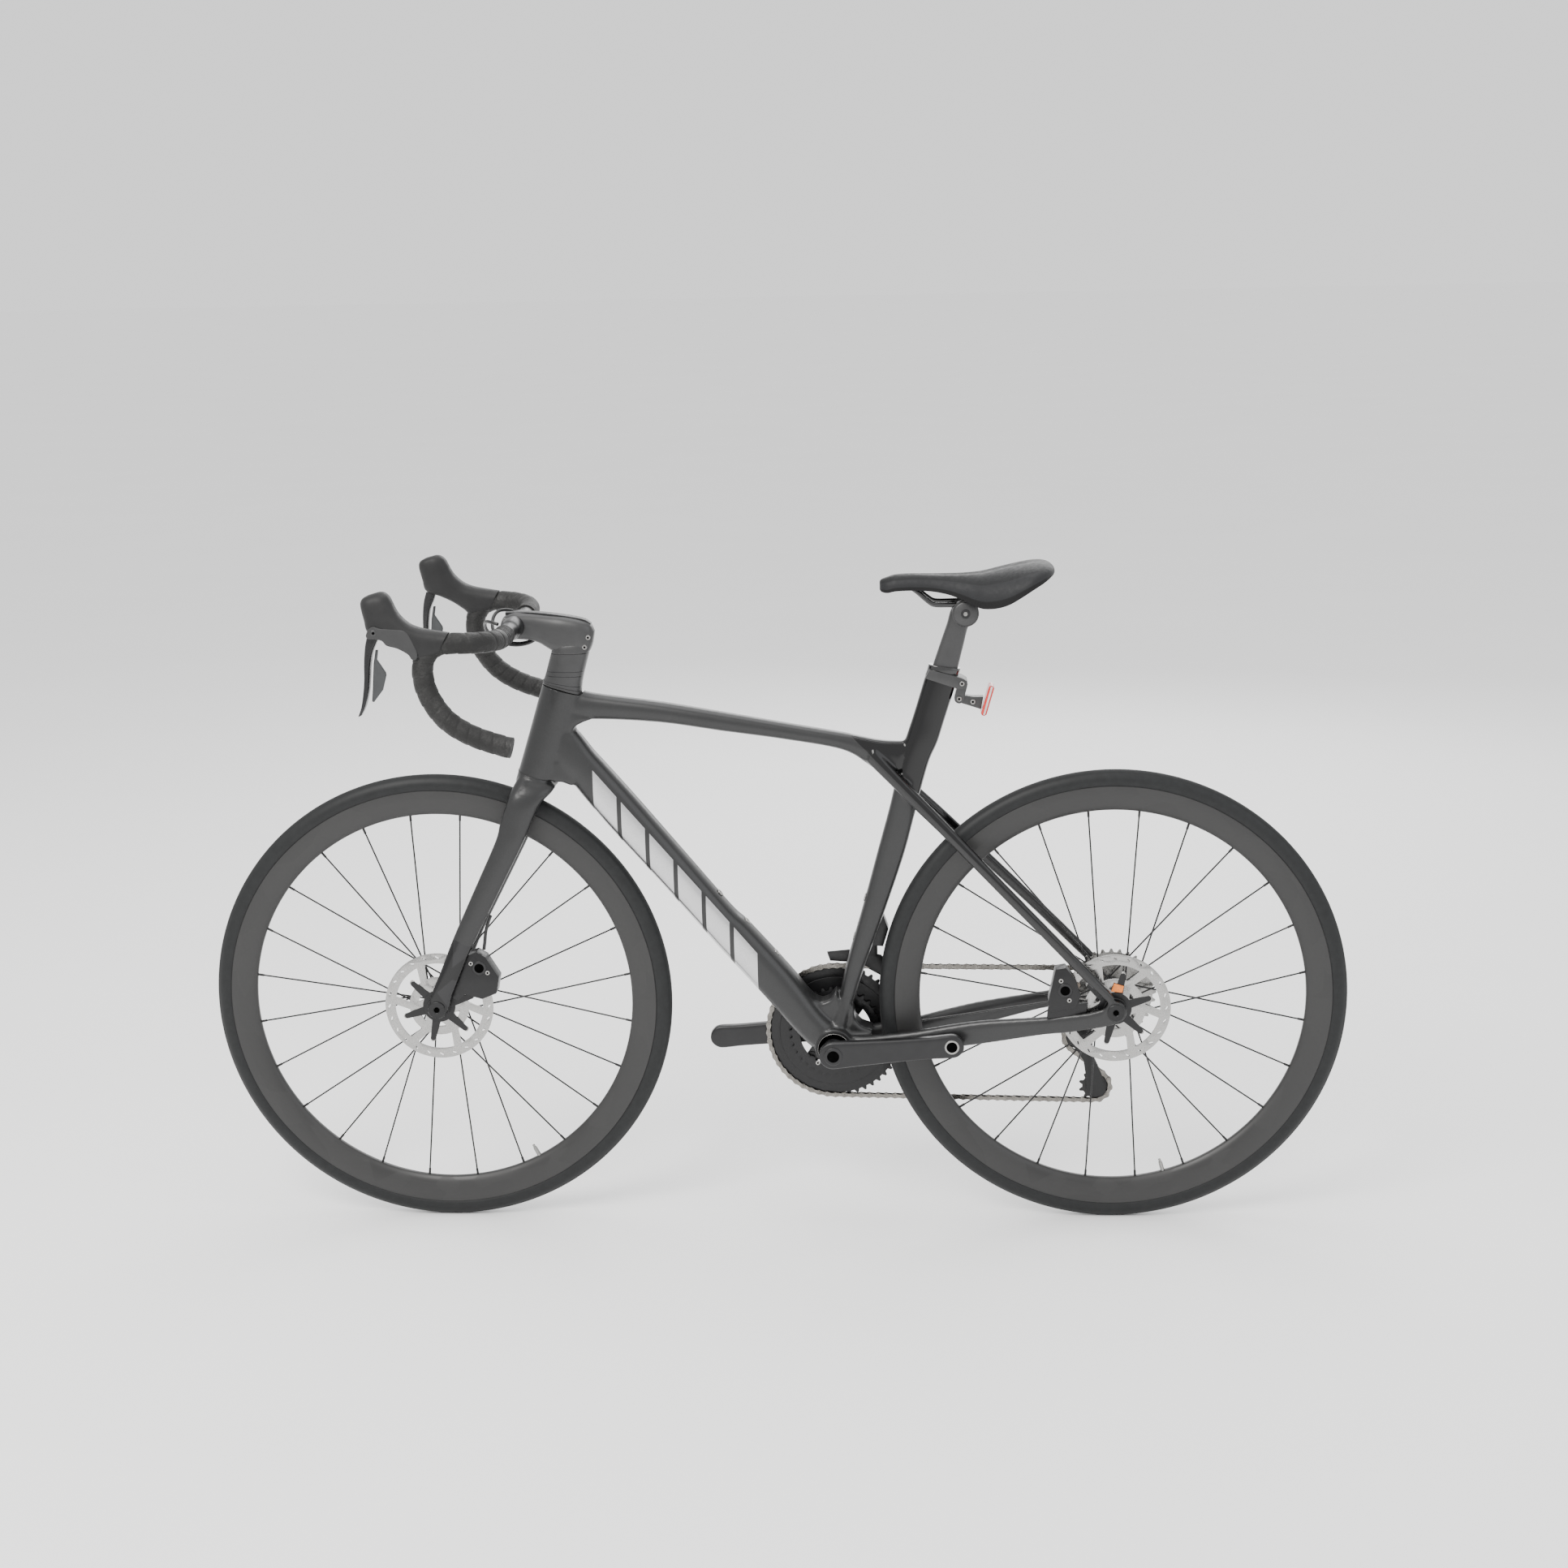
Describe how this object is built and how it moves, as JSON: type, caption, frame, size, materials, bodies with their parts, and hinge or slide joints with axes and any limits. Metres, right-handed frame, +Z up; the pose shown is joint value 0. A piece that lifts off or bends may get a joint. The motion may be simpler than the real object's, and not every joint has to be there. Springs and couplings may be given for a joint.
{
  "type": "road bicycle",
  "caption": "Road bicycle with an aero frame, deep wheels, disc brakes, a drop handlebar and derailleur gears.",
  "frame": {"origin": "on the ground, midway between the wheels' axles, in the bicycle's mid-plane", "axes": "+X from the front wheel to the rear wheel, +Y to the rider's right, +Z up"},
  "size_m": [1.6655, 0.4444, 0.9806],
  "materials": {
    "frame_paint": "satin charcoal paint on carbon fibre",
    "gloss_black": "gloss black lacquer over carbon fibre",
    "steel": "bright steel",
    "post_grey": "satin mid-grey anodising",
    "clamp": "satin silver-grey",
    "black_alloy": "satin black anodising",
    "spacers": "satin black",
    "pad": "sintered metal on steel",
    "rotor": "ground bright steel with a black aluminium carrier",
    "spoke": "black",
    "tyre": "matte black rubber",
    "rim": "matte carbon fibre",
    "tape": "textured black wrap",
    "hood_rubber": "matte dark grey rubber",
    "hose": "satin black",
    "lever": "satin black carbon fibre",
    "pulley": "black",
    "saddle_shell": "matte black",
    "saddle_cover": "matte charcoal cover over foam",
    "red_lens": "clear red lens"
  },
  "bodies": {
    "frame": {"head_tube": "frame_paint", "top_tube": "frame_paint", "down_tube": "frame_paint", "seat_tube": "gloss_black", "bb_shell": "frame_paint", "seatstays": "frame_paint", "chainstays": "frame_paint", "frame_bearings": "steel", "bottle_bosses": "steel", "seatpost": "post_grey", "saddle_clamp": "clamp", "saddle_rails": "gloss_black", "saddle_shell": "saddle_shell", "saddle_pad": "saddle_cover", "light_bracket": "post_grey", "rear_light": "red_lens", "rear_caliper": "black_alloy", "rear_thru_axle": "black_alloy", "chain": "steel", "fd_body": "black_alloy", "rd_body": "black_alloy"},
    "steering": {"fork": "frame_paint", "headset_spacers": "spacers", "stem": "post_grey", "handlebar": "black_alloy", "bar_tape": "tape", "hood_left": "hood_rubber", "hood_right": "hood_rubber", "hoses": "hose", "front_caliper": "black_alloy", "front_thru_axle": "black_alloy"},
    "front_wheel": {"front_tyre": "tyre", "front_rim": "rim", "front_spokes": "spoke", "front_hub": "black_alloy", "front_rotor": "rotor"},
    "rear_wheel": {"rear_tyre": "tyre", "rear_rim": "rim", "rear_spokes": "spoke", "rear_hub": "black_alloy", "rear_rotor": "rotor"},
    "crankset": {"crank_right": "black_alloy", "crank_left": "black_alloy", "crank_spindle": "steel", "chainrings": "black_alloy"},
    "cassette": {"cassette": "steel"},
    "fd_cage": {"fd_cage": "steel"},
    "rd_link_outer": {"rd_link_outer": "black_alloy"},
    "rd_link_inner": {"rd_link_inner": "black_alloy"},
    "rd_knuckle": {"rd_knuckle": "black_alloy"},
    "rd_cage": {"rd_cage": "black_alloy"},
    "guide_pulley": {"guide_pulley": "pulley"},
    "tension_pulley": {"tension_pulley": "pulley"},
    "brake_lever_left": {"brake_lever_left": "lever"},
    "brake_lever_right": {"brake_lever_right": "lever"},
    "shift_paddle_left": {"shift_paddle_left": "lever"},
    "shift_paddle_right": {"shift_paddle_right": "lever"},
    "front_pad_left": {"front_pad_left": "pad"},
    "front_pad_right": {"front_pad_right": "pad"},
    "rear_pad_left": {"rear_pad_left": "pad"},
    "rear_pad_right": {"rear_pad_right": "pad"}
  },
  "joints": [
    {"name": "steering_turn", "type": "hinge", "parent": "frame", "child": "steering", "pos_m": [-0.323, 0, 0.74165], "axis": [0.2924, 0, 0.9563], "range_deg": [-60, 60]},
    {"name": "front_wheel_spin", "type": "hinge", "parent": "steering", "child": "front_wheel", "pos_m": [-0.49285, 0, 0.34], "axis": [0, -1, 0], "continuous": true},
    {"name": "rear_wheel_spin", "type": "hinge", "parent": "frame", "child": "rear_wheel", "pos_m": [0.49285, 0, 0.34], "axis": [0, -1, 0], "continuous": true},
    {"name": "crank_spin", "type": "hinge", "parent": "frame", "child": "crankset", "pos_m": [0.0865, 0, 0.272], "axis": [0, -1, 0], "continuous": true, "deforming": ["chain"]},
    {"name": "cassette_spin", "type": "hinge", "parent": "frame", "child": "cassette", "pos_m": [0.49285, 0, 0.34], "axis": [0, -1, 0], "continuous": true, "deforming": ["chain"]},
    {"name": "guide_pulley_spin", "type": "hinge", "parent": "rd_cage", "child": "guide_pulley", "pos_m": [0.44815, 0.0485, 0.262], "axis": [0, -1, 0], "continuous": true, "deforming": ["chain"]},
    {"name": "tension_pulley_spin", "type": "hinge", "parent": "rd_cage", "child": "tension_pulley", "pos_m": [0.47265, 0.0485, 0.185], "axis": [0, -1, 0], "continuous": true, "deforming": ["chain"]},
    {"name": "rd_shift", "type": "hinge", "parent": "frame", "child": "rd_link_outer", "pos_m": [0.48567, 0.07798, 0.29597], "axis": [-0.5497, -0.4008, 0.7329], "range_deg": [-17, 38], "deforming": ["chain"]},
    {"name": "rd_link_inner_swing", "type": "hinge", "parent": "frame", "child": "rd_link_inner", "pos_m": [0.48683, 0.06627, 0.29044], "axis": [-0.5497, -0.4008, 0.7329], "range_deg": [-17, 38], "deforming": ["chain"]},
    {"name": "rd_knuckle_swing", "type": "hinge", "parent": "rd_link_outer", "child": "rd_knuckle", "pos_m": [0.44747, 0.08573, 0.27156], "axis": [0.5497, 0.4008, -0.7329], "range_deg": [-17, 38], "deforming": ["chain"]},
    {"name": "rd_cage_swing", "type": "hinge", "parent": "rd_knuckle", "child": "rd_cage", "pos_m": [0.44815, 0.06, 0.262], "axis": [0, 1, 0], "range_deg": [-25, 35], "stiffness_Nm_per_rad": 0.6, "deforming": ["chain"]},
    {"name": "fd_swing", "type": "hinge", "parent": "frame", "child": "fd_cage", "pos_m": [0.14015, 0.04, 0.436], "axis": [1, 0, 0], "range_deg": [-7, 0], "deforming": ["chain"]},
    {"name": "brake_lever_left_pull", "type": "hinge", "parent": "steering", "child": "brake_lever_left", "pos_m": [-0.51825, -0.198, 0.9224], "axis": [0, -1, 0], "range_deg": [0, 18], "stiffness_Nm_per_rad": 1, "springref_deg": -5.73},
    {"name": "shift_paddle_left_push", "type": "hinge", "parent": "brake_lever_left", "child": "shift_paddle_left", "pos_m": [-0.51885, -0.1995, 0.8955], "axis": [1, 0, 0], "range_deg": [0, 14], "stiffness_Nm_per_rad": 0.2, "springref_deg": -5.73},
    {"name": "brake_lever_right_pull", "type": "hinge", "parent": "steering", "child": "brake_lever_right", "pos_m": [-0.51825, 0.198, 0.9224], "axis": [0, -1, 0], "range_deg": [0, 18], "stiffness_Nm_per_rad": 1, "springref_deg": -5.73},
    {"name": "shift_paddle_right_push", "type": "hinge", "parent": "brake_lever_right", "child": "shift_paddle_right", "pos_m": [-0.51885, 0.1995, 0.8955], "axis": [-1, 0, 0], "range_deg": [0, 14], "stiffness_Nm_per_rad": 0.2, "springref_deg": -5.73},
    {"name": "front_pad_left_slide", "type": "slide", "parent": "steering", "child": "front_pad_left", "axis": [0, 1, 0], "range_m": [0, 0.0004]},
    {"name": "front_pad_right_slide", "type": "slide", "parent": "steering", "child": "front_pad_right", "axis": [0, -1, 0], "range_m": [0, 0.0004]},
    {"name": "rear_pad_left_slide", "type": "slide", "parent": "frame", "child": "rear_pad_left", "axis": [0, 1, 0], "range_m": [0, 0.0004]},
    {"name": "rear_pad_right_slide", "type": "slide", "parent": "frame", "child": "rear_pad_right", "axis": [0, -1, 0], "range_m": [0, 0.0004]}
  ],
  "couplings": [
    {"joint": "cassette_spin", "follows": "crank_spin", "ratio": 3.5714},
    {"joint": "guide_pulley_spin", "follows": "crank_spin", "ratio": -4.5455},
    {"joint": "tension_pulley_spin", "follows": "crank_spin", "ratio": 4.5455},
    {"joint": "rd_link_inner_swing", "follows": "rd_shift", "ratio": 1},
    {"joint": "rd_knuckle_swing", "follows": "rd_shift", "ratio": 1},
    {"joint": "front_pad_left_slide", "follows": "brake_lever_left_pull", "m_per_rad": 0.001114},
    {"joint": "front_pad_right_slide", "follows": "brake_lever_left_pull", "m_per_rad": 0.001114},
    {"joint": "rear_pad_left_slide", "follows": "brake_lever_right_pull", "m_per_rad": 0.001114},
    {"joint": "rear_pad_right_slide", "follows": "brake_lever_right_pull", "m_per_rad": 0.001114}
  ]
}
